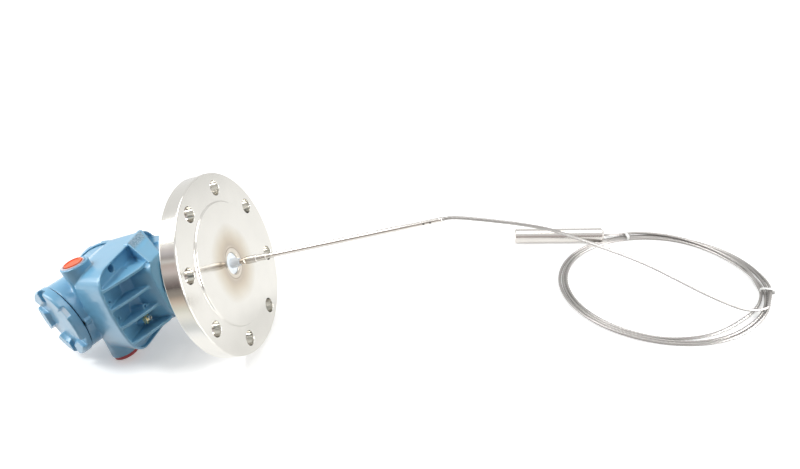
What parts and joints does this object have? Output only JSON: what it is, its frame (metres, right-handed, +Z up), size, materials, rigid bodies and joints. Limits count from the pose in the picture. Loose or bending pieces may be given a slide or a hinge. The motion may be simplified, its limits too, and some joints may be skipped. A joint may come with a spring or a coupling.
{
  "type": "radar level transmitter",
  "caption": "Guided-wave radar level transmitter lying on its flange rim: blue cast head with screwed covers, tank flange, rigid rod probe and a coiled wire lead with an end weight.",
  "frame": {"origin": "on the table, under the centre of the box round the instrument without its wire, coil and end weight", "axes": "+X runs along the table from the head past the flange to the probe, +Z is up, and the terminal cover looks to -Y"},
  "size_m": [0.9366, 0.4273, 0.2262],
  "materials": {
    "flange_steel": "satin",
    "fitting_steel": "satin",
    "weld": "matte",
    "screw_steel": "satin",
    "wire_steel": "satin",
    "white_plastic": "satin",
    "tie_plastic": "gloss",
    "black_plastic": "matte",
    "black_rubber": "matte",
    "brass": "satin",
    "blue_casting": "satin",
    "orange_plastic": "gloss",
    "red_plastic": "gloss"
  },
  "bodies": {
    "base": {"flange": "flange_steel", "tank_connection": "fitting_steel", "weld_bead": "weld", "swivel_nut": "fitting_steel", "seal_bushing": "white_plastic", "insulator": "white_plastic", "probe_rod": "fitting_steel", "wire_chuck": "fitting_steel", "chuck_screws": "screw_steel", "head_seal": "black_rubber", "lead_run": "wire_steel", "lead_coil": "wire_steel", "lead_tail": "wire_steel", "tie_1": "tie_plastic", "tie_2": "tie_plastic", "end_weight": "fitting_steel", "weight_screws": "screw_steel"},
    "head": {"housing": "blue_casting", "head_spigot": "fitting_steel", "centre_conductor": "brass", "terminal_block": "black_plastic", "terminal_screws": "screw_steel", "inner_ground_screw": "screw_steel", "electronics_module": "black_plastic", "module_screws": "screw_steel", "ground_screw": "screw_steel", "ground_clamp": "brass", "terminal_cover_screw": "screw_steel", "electronics_cover_screw": "screw_steel"},
    "terminal_seal_ring": {"terminal_cover_seal": "black_rubber"},
    "terminal_lid": {"terminal_cover": "blue_casting"},
    "electronics_seal_ring": {"electronics_cover_seal": "black_rubber"},
    "electronics_lid": {"electronics_cover": "blue_casting"},
    "upper_entry_plug": {"upper_plug": "orange_plastic"},
    "lower_entry_plug": {"lower_plug": "red_plastic"}
  },
  "joints": [
    {"name": "head_turn", "type": "hinge", "parent": "base", "child": "head", "pos_m": [-0.07006, 0, 0.0988], "axis": [-0.9681, 0, -0.2506], "range_deg": [-180, 180]},
    {"name": "terminal_cover_lift", "type": "slide", "parent": "head", "child": "terminal_seal_ring", "axis": [-0.4655, -0.8745, -0.1362], "range_m": [0, 0.0105]},
    {"name": "terminal_cover_turn", "type": "hinge", "parent": "terminal_seal_ring", "child": "terminal_lid", "pos_m": [-0.21143, -0.05553, 0.06121], "axis": [-0.4655, -0.8745, -0.1362], "range_deg": [0, 1800]},
    {"name": "electronics_cover_lift", "type": "slide", "parent": "head", "child": "electronics_seal_ring", "axis": [-0.4732, 0.8745, -0.1067], "range_m": [0, 0.0105]},
    {"name": "electronics_cover_turn", "type": "hinge", "parent": "electronics_seal_ring", "child": "electronics_lid", "pos_m": [-0.20364, 0.04023, 0.06496], "axis": [-0.4732, 0.8745, -0.1067], "range_deg": [0, 1800]},
    {"name": "upper_plug_slide", "type": "slide", "parent": "head", "child": "upper_entry_plug", "axis": [-0.2505, -0.0175, 0.968], "range_m": [0, 0.014]},
    {"name": "lower_plug_slide", "type": "slide", "parent": "head", "child": "lower_entry_plug", "axis": [0.2505, 0.0175, -0.968], "range_m": [0, 0.014]}
  ],
  "couplings": [
    {"joint": "terminal_cover_lift", "follows": "terminal_cover_turn", "m_per_rad": 0.00031831},
    {"joint": "electronics_cover_lift", "follows": "electronics_cover_turn", "m_per_rad": 0.00031831}
  ]
}
